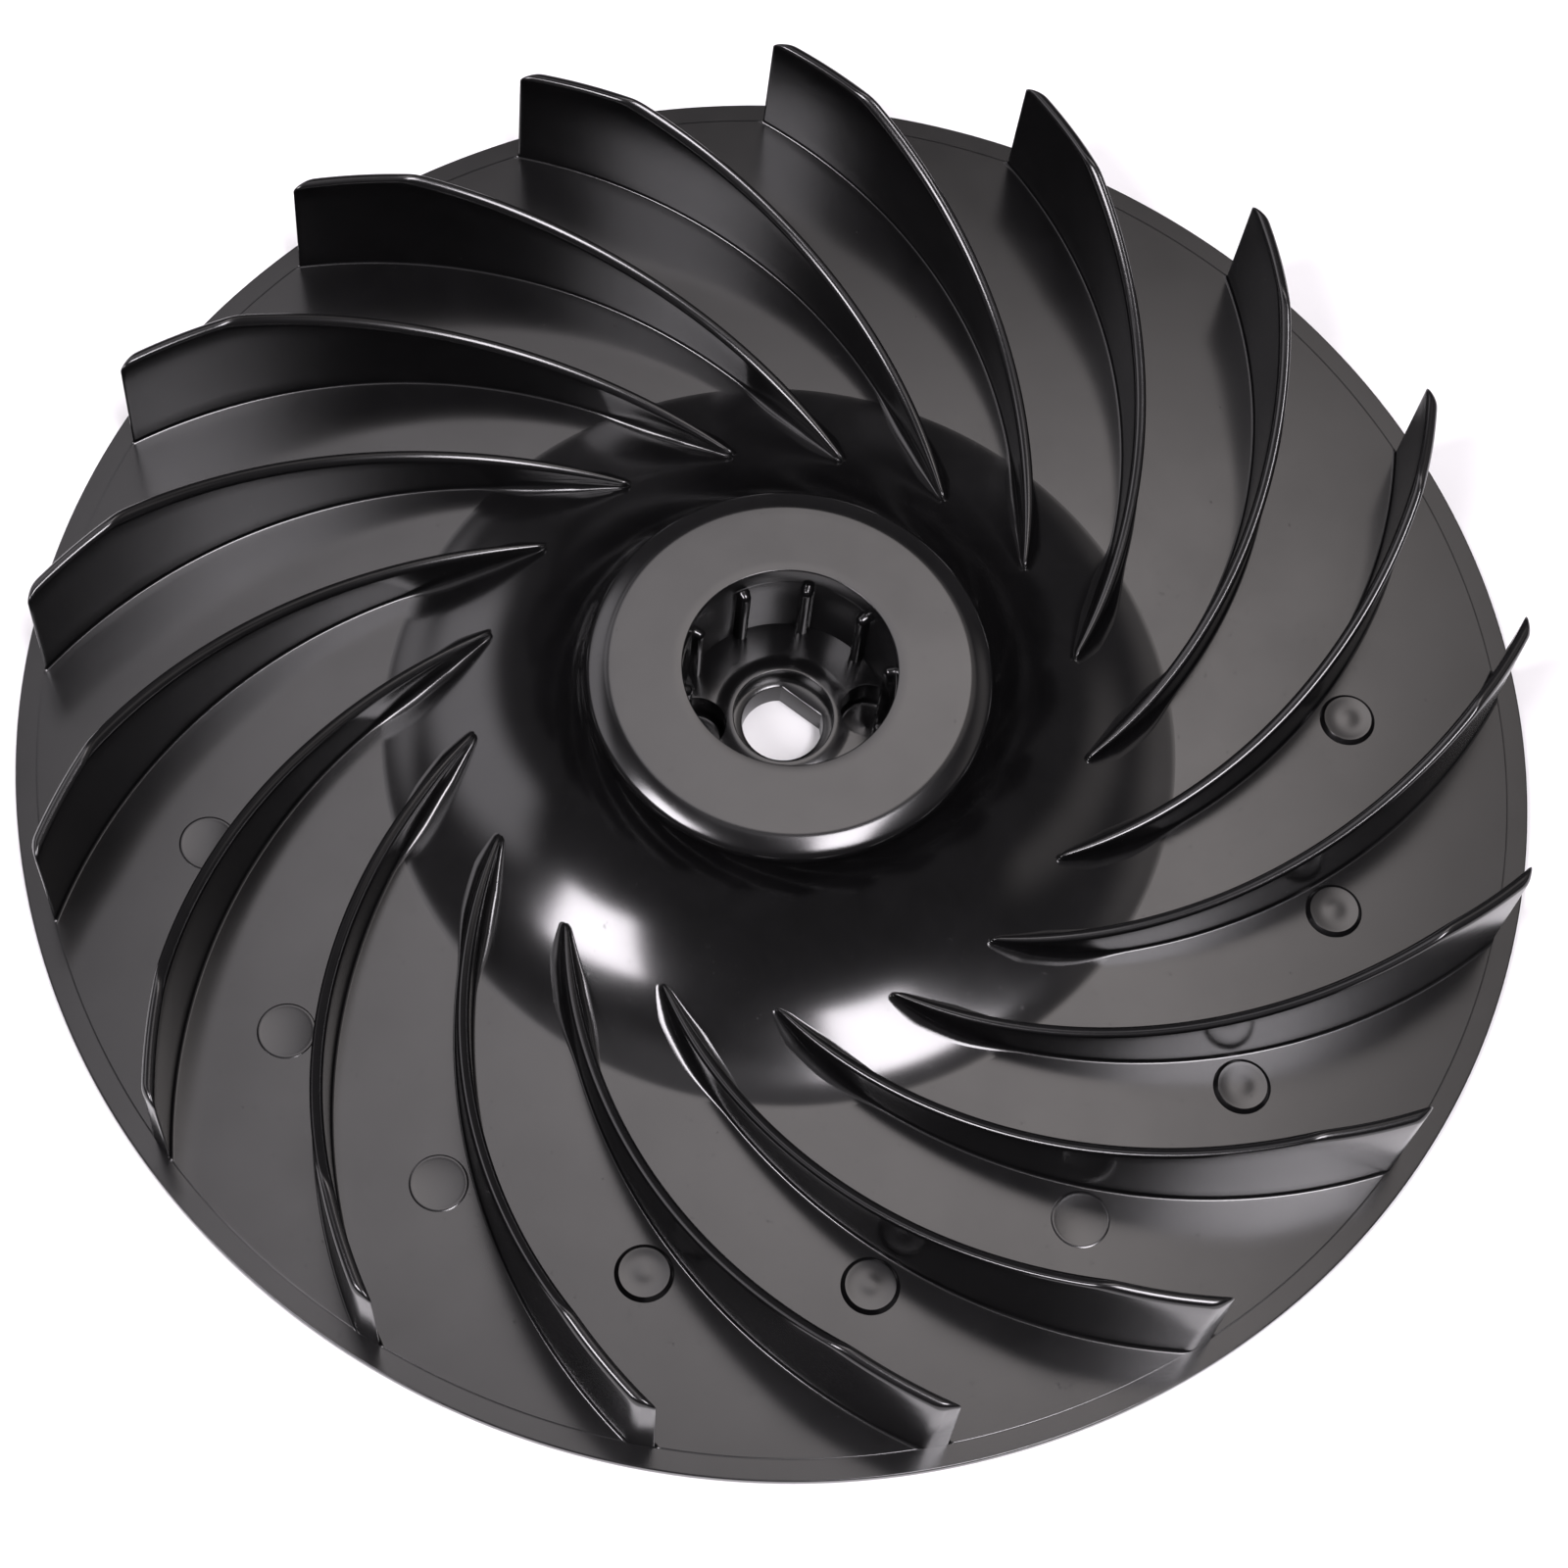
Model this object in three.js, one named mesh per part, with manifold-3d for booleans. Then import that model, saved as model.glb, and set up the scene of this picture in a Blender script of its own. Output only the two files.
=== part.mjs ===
// Backward-curved blower wheel, in millimetres, +Z along the wheel's axis.
// The origin is on the axis at the plate's flat back face. The blades and the hub face look up.
//
// The wheel is built as its named pieces: the plate, the bell that rises to the hub, the hub
// face, the pocket's sleeve, its floor with the shaft boss, the bush and the seventeen blades.

import * as THREE from 'three';
import { mergeVertices } from 'three/addons/utils/BufferGeometryUtils.js';
import Module from 'manifold-3d';

const wasm = await Module();
wasm.setup();

// Driving dimensions.
const wheelRadius = 75;
const plateThickness = 1.0;
const wallThickness = 1.6;
const seam = 0.3; // gap between neighbouring pieces

// The bell is a quarter of a superellipse turned about the axis, flat at its foot
// and steep at the hub.
const bellFootRadius = 39.5;
const hubRadius = 19.75;
const bellRise = 13.0;
const bellPower = 1.6;
const bellTopHeight = 13.2;

// Hub face. Its shoulder starts tightly, runs on nearly flat, and then turns down to the wall.
// The slopes are where one arc hands over to the next.
const hubHeight = 15.8;
const faceFlatRadius = 17.2;
const shoulderBreakRadius = 2.5;
const shoulderBreakSlope = THREE.MathUtils.degToRad(18);
const shoulderCrownRadius = 7.5;
const shoulderCrownSlope = THREE.MathUtils.degToRad(28);

// Round pocket in the hub face, with two blind core holes sunk in its thick floor.
const pocketRadius = 10.35;
const pocketFloorHeight = 4.6;
const coreHoleRadius = 2.8;
const coreHoleCentreRadius = 8.5;
const coreHoleBottom = 0.8;
const coreHoleAzimuth = THREE.MathUtils.degToRad(14);
const coreHoleCount = 2;

// Splines: low half-round ribs up the pocket's wall.
const splineCount = 10;
const splineRadius = 0.7;
const splineInset = 0.35;
const firstSplineAzimuth = THREE.MathUtils.degToRad(14.9);

// Shaft boss in the middle of the pocket's floor, and the bush in it with a D-shaped bore
// for an 8 mm (5/16 inch) motor shaft.
const bossRadius = 5.6;
const bossHeight = 4.9;
const bossBoreRadius = 4.9;
const bushRadius = bossBoreRadius - seam;
const bushHeight = 3.2;
const boreRadius = 3.97;
const boreFlatDistance = 3.1;
const boreFlatAzimuth = THREE.MathUtils.degToRad(60);

// Blades: each is an upright wall on one arc in plan. The arc's centre lies ahead of the outer tip.
const bladeCount = 17;
const bladeFootThickness = 1.5;
const bladeTopThickness = 1.3;
const bladeOuterRadius = 73.0;
const bladeInnerRadius = 30.3;
const bladeArcRadius = 56.6;
const bladeArcCentreRadius = 40.6;
const bladeArcCentreLead = THREE.MathUtils.degToRad(50.4);
const firstBladeAzimuth = THREE.MathUtils.degToRad(98.3);
const bladeSteps = 26;

// Blade top edge, as heights over the back face: low at the inner tip, highest at the crest,
// and a little lower again at the outer tip.
const bladeCrestRadius = 66.5;
const bladeCrestHeight = 16.0;
const bladeOuterHeight = 15.1;
const bladeInnerHeight = 4.1;
const bladeInnerSlope = 0.11;

// Ejector pads: low discs on the plate between the blades. Five stand proud and four barely show.
const padCircleRadius = 57.2;
const padPitchShare = 0.86; // of the blade pitch, ahead of the blade that it is counted from
const padRadius = 2.8;
const proudPadHeight = 0.45;
const faintPadHeight = 0.1;
const proudPads = [7, 8, 10, 11, 12];
const faintPads = [4, 5, 6, 9];

// Fineness of the turned surfaces.
const turnSegments = 72;
const smallTurnSegments = 36;
const padSegments = 24;
const bellSteps = 10;
const shoulderSteps = 3;

function plastic(colour, roughness) {
  return new THREE.MeshStandardMaterial({ color: colour, roughness, metalness: 0 });
}

function bellHeight(radius) {
  const reach = (bellFootRadius - radius) / (bellFootRadius - hubRadius);
  const run = THREE.MathUtils.clamp(reach, 0, 1);
  const drop = Math.pow(1 - Math.pow(run, bellPower), 1 / bellPower);
  return plateThickness + bellRise * (1 - drop);
}

function bellRadius(height) {
  const drop = 1 - (height - plateThickness) / bellRise;
  const run = Math.pow(1 - Math.pow(drop, bellPower), 1 / bellPower);
  return bellFootRadius - run * (bellFootRadius - hubRadius);
}

function bladeTop(radius) {
  if (radius > bladeCrestRadius) {
    const fall = (radius - bladeCrestRadius) / (bladeOuterRadius - bladeCrestRadius);
    return bladeCrestHeight - fall * (bladeCrestHeight - bladeOuterHeight);
  }
  const run = radius - bladeInnerRadius;
  const reach = bladeCrestRadius - bladeInnerRadius;
  const rise = bladeCrestHeight - bladeInnerHeight;
  const curvature = (rise - bladeInnerSlope * reach) / (reach * reach);
  return bladeInnerHeight + bladeInnerSlope * run + curvature * run * run;
}

function bladeFoot(radius) {
  return radius > bellFootRadius ? plateThickness : bellHeight(radius) + seam;
}

// Booleans: three.js geometry to a manifold solid and back.
function solid(geometry) {
  const bare = geometry.index ? geometry.toNonIndexed() : geometry.clone();
  bare.deleteAttribute('normal');
  bare.deleteAttribute('uv');
  const merged = mergeVertices(bare, 1e-5);
  return new wasm.Manifold(
    new wasm.Mesh({
      numProp: 3,
      vertProperties: new Float32Array(merged.attributes.position.array),
      triVerts: new Uint32Array(merged.index.array),
    }),
  );
}

function geometryOf(manifold) {
  const mesh = manifold.getMesh();
  const geometry = new THREE.BufferGeometry();
  geometry.setAttribute('position', new THREE.BufferAttribute(new Float32Array(mesh.vertProperties), 3));
  geometry.setIndex(new THREE.BufferAttribute(new Uint32Array(mesh.triVerts), 1));
  geometry.computeVertexNormals();
  return geometry;
}

// A profile of (radius, height) points, closed on itself and turned about +Z.
function turned(points, segments) {
  const profile = points.map(([radius, height]) => new THREE.Vector2(radius, height));
  profile.push(profile[0].clone());
  const geometry = new THREE.LatheGeometry(profile, segments);
  geometry.rotateX(Math.PI / 2);
  return geometry;
}

function upright(radius, bottom, top, segments) {
  const cylinder = new THREE.CylinderGeometry(radius, radius, top - bottom, segments);
  cylinder.rotateX(Math.PI / 2);
  cylinder.translate(0, 0, (bottom + top) / 2);
  return cylinder;
}

function ejectorPad(index, height) {
  const azimuth = firstBladeAzimuth + ((index + padPitchShare) * 2 * Math.PI) / bladeCount;
  const pad = upright(padRadius, plateThickness / 2, plateThickness + height, padSegments);
  pad.translate(padCircleRadius * Math.cos(azimuth), padCircleRadius * Math.sin(azimuth), 0);
  return solid(pad);
}

function backPlate() {
  const inner = bellFootRadius + seam;
  let plate = solid(
    turned(
      [
        [inner, 0],
        [wheelRadius, 0],
        [wheelRadius, plateThickness],
        [inner, plateThickness],
      ],
      turnSegments,
    ),
  );
  for (const index of proudPads) plate = plate.add(ejectorPad(index, proudPadHeight));
  for (const index of faintPads) plate = plate.add(ejectorPad(index, faintPadHeight));
  return geometryOf(plate);
}

// The bell's outside runs up from its foot. Its inside is the same curve, moved in by the wall.
function hubBell() {
  const outside = [];
  const inside = [];
  for (let step = 0; step <= bellSteps; step += 1) {
    const rise = Math.pow(step / bellSteps, 2);
    const height = THREE.MathUtils.lerp(plateThickness, bellTopHeight, rise);
    const radius = bellRadius(height);
    const slope = THREE.MathUtils.clamp((bellFootRadius - radius) / (bellFootRadius - hubRadius), 0, 1);
    const lean = (slope * Math.PI) / 2;
    outside.push([radius, height]);
    const innerHeight = Math.max(0, height - wallThickness * Math.cos(lean));
    inside.push([radius - wallThickness * Math.sin(lean), innerHeight]);
  }
  inside[bellSteps][1] = bellTopHeight;
  const footInside = inside.filter(([, height]) => height > 0);
  const profile = [[bellFootRadius, 0], ...outside, ...footInside.reverse(), [bellFootRadius - 3, 0]];
  return turned(profile, turnSegments);
}

// Carries a profile on along an arc that curves down, from one slope to the next.
function curveDown(profile, arcRadius, startSlope, endSlope) {
  const [startX, startZ] = profile[profile.length - 1];
  for (let step = 1; step <= shoulderSteps; step += 1) {
    const slope = THREE.MathUtils.lerp(startSlope, endSlope, step / shoulderSteps);
    profile.push([
      startX + arcRadius * (Math.sin(slope) - Math.sin(startSlope)),
      startZ - arcRadius * (Math.cos(startSlope) - Math.cos(slope)),
    ]);
  }
}

function hubFace() {
  const bottom = bellTopHeight + seam;
  const shoulder = [[faceFlatRadius, hubHeight]];
  curveDown(shoulder, shoulderBreakRadius, 0, shoulderBreakSlope);
  curveDown(shoulder, shoulderCrownRadius, shoulderBreakSlope, shoulderCrownSlope);
  const crownEnd = shoulder[shoulder.length - 1][0];
  const wallArcRadius = (hubRadius - crownEnd) / (1 - Math.sin(shoulderCrownSlope));
  curveDown(shoulder, wallArcRadius, shoulderCrownSlope, Math.PI / 2);
  const profile = [
    [pocketRadius, bottom],
    [hubRadius - 0.02, bottom],
    ...shoulder.reverse(),
    [pocketRadius, hubHeight],
  ];
  return turned(profile, turnSegments);
}

function pocketSleeve() {
  const sleeve = solid(
    turned(
      [
        [pocketRadius, 0],
        [pocketRadius + wallThickness, 0],
        [pocketRadius + wallThickness, bellTopHeight],
        [pocketRadius, bellTopHeight],
      ],
      turnSegments,
    ),
  );
  let ribbed = sleeve;
  for (let index = 0; index < splineCount; index += 1) {
    const azimuth = firstSplineAzimuth + (index * 2 * Math.PI) / splineCount;
    const rib = upright(splineRadius, pocketFloorHeight + seam, bellTopHeight, 12);
    const ribCircle = pocketRadius - splineInset;
    rib.translate(ribCircle * Math.cos(azimuth), ribCircle * Math.sin(azimuth), 0);
    ribbed = ribbed.add(solid(rib));
  }
  return geometryOf(ribbed);
}

// The thick floor and the boss that stands on it, with blind core holes out to the wall.
function pocketFloor() {
  let floor = solid(upright(pocketRadius - seam, 0, pocketFloorHeight, turnSegments));
  floor = floor.add(solid(upright(bossRadius, 0, bossHeight, smallTurnSegments)));
  floor = floor.subtract(solid(upright(bossBoreRadius, -1, bossHeight + 1, smallTurnSegments)));
  for (let index = 0; index < coreHoleCount; index += 1) {
    const azimuth = coreHoleAzimuth + (index * 2 * Math.PI) / coreHoleCount;
    const hole = upright(coreHoleRadius, coreHoleBottom, pocketFloorHeight + 1, 24);
    hole.translate(coreHoleCentreRadius * Math.cos(azimuth), coreHoleCentreRadius * Math.sin(azimuth), 0);
    floor = floor.subtract(solid(hole));
  }
  return geometryOf(floor);
}

function shaftBush() {
  const shaft = solid(upright(boreRadius, -1, bushHeight + 1, smallTurnSegments));
  const flat = new THREE.BoxGeometry(4 * boreRadius, 4 * boreRadius, 4 * bushHeight);
  flat.translate(boreFlatDistance + 2 * boreRadius, 0, 0);
  flat.rotateZ(boreFlatAzimuth);
  const bush = solid(upright(bushRadius, 0, bushHeight, smallTurnSegments));
  return geometryOf(bush.subtract(shaft.subtract(solid(flat))));
}

// Angle round the blade arc's own centre at which an arc about it reaches a wheel radius.
function turnAt(arcRadius, radius) {
  const sides = arcRadius * arcRadius + bladeArcCentreRadius * bladeArcCentreRadius;
  return -Math.acos((radius * radius - sides) / (2 * arcRadius * bladeArcCentreRadius));
}

// A unit box, bent in plan onto the blade's arc and drawn up from the blade's foot to its top
// edge. Both ends lie on circles about the wheel's axis, and the sides have moulding draft.
function blade() {
  const geometry = new THREE.BoxGeometry(1, 1, 1, bladeSteps, 1, 1);
  const position = geometry.attributes.position;
  const centreAzimuth = firstBladeAzimuth + bladeArcCentreLead;
  const centreX = bladeArcCentreRadius * Math.cos(centreAzimuth);
  const centreY = bladeArcCentreRadius * Math.sin(centreAzimuth);
  for (let index = 0; index < position.count; index += 1) {
    const onTop = position.getZ(index) > 0;
    const thickness = onTop ? bladeTopThickness : bladeFootThickness;
    const arcRadius = bladeArcRadius - position.getY(index) * thickness;
    const inner = turnAt(arcRadius, bladeInnerRadius);
    const outer = turnAt(arcRadius, bladeOuterRadius);
    const turn = centreAzimuth + THREE.MathUtils.lerp(inner, outer, position.getX(index) + 0.5);
    const x = centreX + arcRadius * Math.cos(turn);
    const y = centreY + arcRadius * Math.sin(turn);
    const radius = Math.hypot(x, y);
    position.setXYZ(index, x, y, onTop ? bladeTop(radius) : bladeFoot(radius));
  }
  geometry.computeVertexNormals();
  return geometry;
}

const wheel = new THREE.Group();

function piece(name, geometry, colour, roughness) {
  const mesh = new THREE.Mesh(geometry, plastic(colour, roughness));
  mesh.name = name;
  wheel.add(mesh);
  return mesh;
}

piece('back_plate', backPlate(), 0x2b2b2c, 0.42);
piece('hub_bell', hubBell(), 0x161617, 0.2);
piece('hub_face', hubFace(), 0x39393a, 0.5);
piece('pocket_sleeve', pocketSleeve(), 0x141415, 0.3);
piece('pocket_floor', pocketFloor(), 0x2a2a2b, 0.4);
piece('shaft_bush', shaftBush(), 0x1f1f1f, 0.3);

for (let index = 0; index < bladeCount; index += 1) {
  const name = `blade_${String(index + 1).padStart(2, '0')}`;
  const mesh = piece(name, blade(), 0x1a1a1b, 0.3);
  mesh.rotation.z = (index * 2 * Math.PI) / bladeCount;
}

export default wheel;
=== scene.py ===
# A moulded black plastic blower wheel: thin back plate, hub bell, pocket with a D-shaped shaft
# bore, and seventeen upright backward-curved blades. Blender 4.5, in metres, +Z up the axle.
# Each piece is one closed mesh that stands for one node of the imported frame.

import math

import bpy
import bmesh
import numpy as np
from mathutils import Matrix, Vector


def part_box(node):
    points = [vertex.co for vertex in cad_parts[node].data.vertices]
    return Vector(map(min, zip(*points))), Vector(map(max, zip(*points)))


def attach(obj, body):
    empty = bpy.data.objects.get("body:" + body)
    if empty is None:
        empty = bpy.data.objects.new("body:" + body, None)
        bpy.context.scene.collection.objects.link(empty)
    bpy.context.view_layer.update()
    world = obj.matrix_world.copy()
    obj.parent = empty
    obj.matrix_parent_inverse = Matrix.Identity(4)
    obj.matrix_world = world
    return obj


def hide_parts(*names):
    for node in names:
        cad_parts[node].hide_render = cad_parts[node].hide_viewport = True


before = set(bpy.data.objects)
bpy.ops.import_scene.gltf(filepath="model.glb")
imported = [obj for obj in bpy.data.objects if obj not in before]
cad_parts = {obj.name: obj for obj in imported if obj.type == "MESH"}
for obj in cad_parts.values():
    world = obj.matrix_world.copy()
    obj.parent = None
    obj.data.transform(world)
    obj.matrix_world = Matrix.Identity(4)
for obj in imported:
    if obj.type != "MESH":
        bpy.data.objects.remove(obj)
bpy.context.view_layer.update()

MM = 0.001
BLADE_COUNT = 17

# Sizes that the frame's own boxes give.
PLATE_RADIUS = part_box("back_plate")[1][0]
BELL_FOOT_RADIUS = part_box("hub_bell")[1][0]
HUB_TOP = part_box("hub_face")[1][2]
BOSS_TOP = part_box("pocket_floor")[1][2]
BUSH_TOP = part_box("shaft_bush")[1][2]
BLADE_CREST_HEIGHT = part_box("blade_01")[1][2]

# Plate: a square rim with small rounded edges, and a shallow witness step just inside it.
PLATE_TOP = 1.0 * MM
PLATE_INNER_RADIUS = 37.2 * MM
PLATE_RIM_FILLET = 0.13 * MM
WITNESS_RADIUS = 72.85 * MM
WITNESS_WIDTH = 0.12 * MM
WITNESS_STEP = 0.03 * MM

# Bell: a quarter superellipse from the plate up to the hub.
HUB_RADIUS = 19.75 * MM
BELL_RISE = 13.0 * MM
BELL_POWER = 1.6
BELL_WALL = 1.6 * MM
FACE_SEAM_HEIGHT = 13.5 * MM

# Hub face. Its shoulder breaks from the flat on a small arc, runs on over a wide crown, and
# turns down to the wall. The slopes, in degrees, are where one arc hands over to the next.
FACE_FLAT_RADIUS = 17.2 * MM
SHOULDER_BREAK_RADIUS = 2.5 * MM
SHOULDER_BREAK_SLOPE = 18.0
SHOULDER_CROWN_RADIUS = 7.5 * MM
SHOULDER_CROWN_SLOPE = 28.0

# Round pocket in the hub face, with two blind core holes in its thick floor.
POCKET_RADIUS = 10.35 * MM
POCKET_LIP_FILLET = 0.12 * MM
POCKET_WALL = 1.6 * MM
POCKET_FLOOR_HEIGHT = 4.6 * MM
CORE_HOLE_RADIUS = 2.8 * MM
CORE_HOLE_CENTRE_RADIUS = 8.5 * MM
CORE_HOLE_BOTTOM = 0.8 * MM
CORE_HOLE_FOOT_FILLET = 0.5 * MM
CORE_HOLE_EDGE = 0.08 * MM
CORE_HOLE_AZIMUTH = math.radians(14)
CORE_HOLE_COUNT = 2
SPLINE_COUNT = 10
SPLINE_RADIUS = 0.7 * MM
SPLINE_INSET = 0.35 * MM
SPLINE_TOP = 13.2 * MM
SPLINE_SOFTNESS = 0.06 * MM  # how gently a spline runs out into the wall
FIRST_SPLINE_AZIMUTH = math.radians(14.9)

# Shaft boss, which fades out into the floor, and the bush in it.
BOSS_FADE_RADIUS = 6.9 * MM
BOSS_BORE_RADIUS = 4.9 * MM
BOSS_MOUTH_FILLET = 0.12 * MM
BORE_RADIUS = 3.97 * MM
BORE_FLAT_DISTANCE = 3.1 * MM
BORE_FLAT_AZIMUTH = math.radians(60)
BORE_LEAD_IN = 0.25 * MM

# Blades: each follows one arc in plan, whose centre lies ahead of the blade's outer tip.
BLADE_INNER_RADIUS = 30.3 * MM
BLADE_OUTER_RADIUS = 73.0 * MM
BLADE_ARC_RADIUS = 56.6 * MM
BLADE_ARC_CENTRE_RADIUS = 40.6 * MM
BLADE_ARC_CENTRE_LEAD = math.radians(50.4)
FIRST_BLADE_AZIMUTH = math.radians(98.3)
BLADE_FOOT_THICKNESS = 1.5 * MM
BLADE_TOP_THICKNESS = 1.2 * MM
BLADE_CREST_RADIUS = 66.5 * MM
BLADE_OUTER_HEIGHT = 15.1 * MM
BLADE_INNER_HEIGHT = 4.1 * MM
BLADE_INNER_SLOPE = 0.11
BLADE_ROOT_FILLET = 0.3 * MM
BLADE_BELL_FILLET = 1.1 * MM  # the root's fillet where the blade stands on the bell
BLADE_ROOT_BLEND_START = 1.5 * MM  # outside the bell's foot
BLADE_ROOT_BLEND_LENGTH = 5.0 * MM
BLADE_EDGE_FILLET = 0.6 * MM
BLADE_END_FILLET = 0.3 * MM
BLADE_CORNER_FILLET = 0.6 * MM
BLADE_TIP_FILLET = 0.5 * MM
BLADE_CREST_SOFTNESS = 0.12 * MM
BLADE_SUNK = 0.25 * MM  # how far the foot reaches into the plate or the bell
BLADE_LEAST_HALF = 0.05 * MM
BLADE_TIP_TAPER = 8.0 * MM
BLADE_TIP_WIDTH = 0.32  # share of the full thickness at the inner tip

# Ejector pads on the plate, in some of the air channels. Five stand proud, and of four more
# only a faint ring shows.
PAD_CIRCLE_RADIUS = 57.2 * MM
PAD_PITCH_SHARE = 0.86  # of the blade pitch, ahead of the blade that the pad is counted from
PAD_RADIUS = 2.8 * MM
PAD_TOP_RADIUS = 2.38 * MM
PAD_HEIGHT = 0.42 * MM
PAD_DISH = 0.045 * MM
PAD_RING_HEIGHT = 0.04 * MM
PAD_COLUMNS = 64
PROUD_PADS = (7, 8, 10, 11, 12)
FAINT_PADS = (4, 5, 6, 9)

LATHE_SEGMENTS = 384
SUPPORT_GAP = 0.04 * MM  # a row of points this close to a rounded edge keeps the flat beyond it flat
SHARP_EDGE_ANGLE = 32.0  # degrees. Edges that bend less are shaded smooth.


# ---------------------------------------------------------------- mesh helpers

def mesh_object(name, points, faces, material, crease=SHARP_EDGE_ANGLE):
    """A smooth-shaded object of these points and faces. Edges sharper than crease stay crisp."""
    mesh = bpy.data.meshes.new(name)
    mesh.from_pydata([tuple(point) for point in points], [], faces)
    mesh.validate()
    shape = bmesh.new()
    shape.from_mesh(mesh)
    bmesh.ops.recalc_face_normals(shape, faces=shape.faces)
    shape.to_mesh(mesh)
    shape.free()
    mesh.shade_smooth()
    mesh.set_sharp_from_angle(angle=math.radians(crease))
    mesh.materials.append(material)
    obj = bpy.data.objects.new(name, mesh)
    bpy.context.scene.collection.objects.link(obj)
    return obj


def arc(centre, radii, start, end, steps):
    """Points (radius, height) on an ellipse's arc from start to end, in degrees."""
    turns = np.radians(np.linspace(start, end, steps + 1))
    return [(centre[0] + radii[0] * math.cos(t), centre[1] + radii[1] * math.sin(t))
            for t in turns]


def clamp(value):
    """The value, held between 0 and 1."""
    return min(max(value, 0.0), 1.0)


def polar(radius, turn):
    """The x and y of a point this far from a centre, at this angle about it."""
    return radius * math.cos(turn), radius * math.sin(turn)


def ring_faces(columns, rows):
    """Quads over a grid of points that closes on itself both ways, column after column."""
    faces = []
    for column in range(columns):
        here = column * rows
        ahead = ((column + 1) % columns) * rows
        for row in range(rows):
            after = (row + 1) % rows
            faces.append((here + row, ahead + row, ahead + after, here + after))
    return faces


def lathe(profile, segments=LATHE_SEGMENTS):
    """Points and faces of a closed (radius, height) profile turned about the axis."""
    points = []
    for index in range(segments):
        turn = 2 * math.pi * index / segments
        points += [(*polar(r, turn), z) for r, z in profile]
    return points, ring_faces(segments, len(profile))


def carve(obj, cutters, bevel):
    """Cuts closed meshes out of obj, and rounds the edges that this leaves."""
    for cutter in cutters:
        cut = obj.modifiers.new("cut", "BOOLEAN")
        cut.operation = "DIFFERENCE"
        cut.solver = "EXACT"
        cut.object = cutter
    rounding = obj.modifiers.new("rounding", "BEVEL")
    rounding.width = bevel
    rounding.segments = 3
    rounding.limit_method = "ANGLE"
    rounding.angle_limit = math.radians(50)
    evaluated = obj.evaluated_get(bpy.context.evaluated_depsgraph_get())
    mesh = bpy.data.meshes.new_from_object(evaluated)
    mesh.name = obj.name
    obj.modifiers.clear()
    obj.data = mesh
    mesh.shade_smooth()
    mesh.set_sharp_from_angle(angle=math.radians(SHARP_EDGE_ANGLE))
    for cutter in cutters:
        bpy.data.objects.remove(cutter)


# ---------------------------------------------------------------- shapes shared by the pieces

def bell_height(radius):
    """Height of the bell's outside, or of the plate's top beyond the bell's foot."""
    reach = clamp((BELL_FOOT_RADIUS - radius) / (BELL_FOOT_RADIUS - HUB_RADIUS))
    return PLATE_TOP + BELL_RISE * (1 - (1 - reach ** BELL_POWER) ** (1 / BELL_POWER))


def bell_point(turn):
    """Point of the bell's outside: turn 0 is at its foot and turn 90 degrees is at the hub."""
    reach = math.sin(turn) ** (2 / BELL_POWER)
    drop = math.cos(turn) ** (2 / BELL_POWER)
    radius = BELL_FOOT_RADIUS - reach * (BELL_FOOT_RADIUS - HUB_RADIUS)
    return radius, PLATE_TOP + BELL_RISE * (1 - drop)


def bell_outside(lowest, highest, steps):
    """The bell's outside between two heights, foot first."""
    turns = np.linspace(0, math.pi / 2, 2001)
    curve = np.array([bell_point(min(t, math.pi / 2 - 1e-9)) for t in turns])
    length = np.concatenate([[0], np.cumsum(np.hypot(*np.diff(curve, axis=0).T))])
    ends = np.interp([lowest, highest], curve[:, 1], length)
    at = np.linspace(ends[0], ends[1], steps + 1)
    return list(zip(np.interp(at, length, curve[:, 0]), np.interp(at, length, curve[:, 1])))


def moved_in(curve, depth):
    """A profile curve, moved square to itself by depth, towards its right-hand side."""
    line = np.array(curve)
    way = np.gradient(line, axis=0)
    way /= np.linalg.norm(way, axis=1, keepdims=True)
    return [(r - depth * dz, z + depth * dr) for (r, z), (dr, dz) in zip(line, way)]


# ---------------------------------------------------------------- materials

def node(tree, kind, **values):
    """A shader node. Values whose names start with a capital are its input sockets."""
    made = tree.nodes.new(kind)
    for key, value in values.items():
        if key[0].isupper():
            made.inputs[key.replace("_", " ")].default_value = value
        else:
            setattr(made, key, value)
    return made


def map_range(tree, source, low, high, from_low=0.3, from_high=0.7):
    """Maps a noise value onto low to high."""
    mapped = node(tree, "ShaderNodeMapRange", From_Min=from_low, From_Max=from_high,
                  To_Min=low, To_Max=high)
    tree.links.new(source, mapped.inputs["Value"])
    return mapped.outputs["Result"]


def bump(tree, place, depth, **noise_values):
    """The normal of a low relief whose height is a noise."""
    noise = node(tree, "ShaderNodeTexNoise", noise_dimensions="4D", **noise_values)
    tree.links.new(place, noise.inputs["Vector"])
    relief = node(tree, "ShaderNodeBump", Strength=1.0, Distance=depth)
    tree.links.new(noise.outputs["Fac"], relief.inputs["Height"])
    return relief.outputs["Normal"]


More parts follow.
